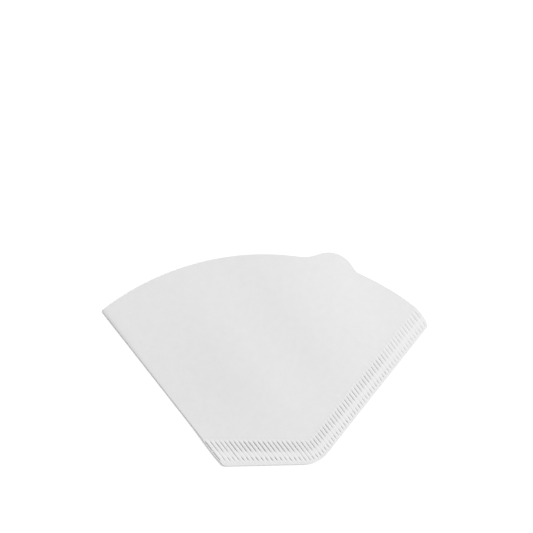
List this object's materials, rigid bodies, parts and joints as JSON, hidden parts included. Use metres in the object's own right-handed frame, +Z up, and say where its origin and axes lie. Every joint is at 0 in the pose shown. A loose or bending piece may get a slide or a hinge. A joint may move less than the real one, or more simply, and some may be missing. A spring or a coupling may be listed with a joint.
{
  "type": "paper coffee filter",
  "caption": "Flat-folded paper cone filter for pour-over coffee: a fan folded in half, crimped along its bottom and one side, open at a curved mouth with a thumb tab.",
  "frame": {"origin": "on the underside of the lower ply, on the fan's centre line, halfway from the bottom edge to the mouth's arc", "axes": "+X from the fold across to the side seam, +Y from the bottom seam up to the mouth, +Z up out of the surface the filter lies on"},
  "size_m": [0.1755, 0.1115, 0.003],
  "materials": {
    "filter_paper": "matte bleached filter paper with a fine fibrous grain"
  },
  "bodies": {
    "root": {"filter_sheet": "filter_paper"}
  },
  "joints": []
}
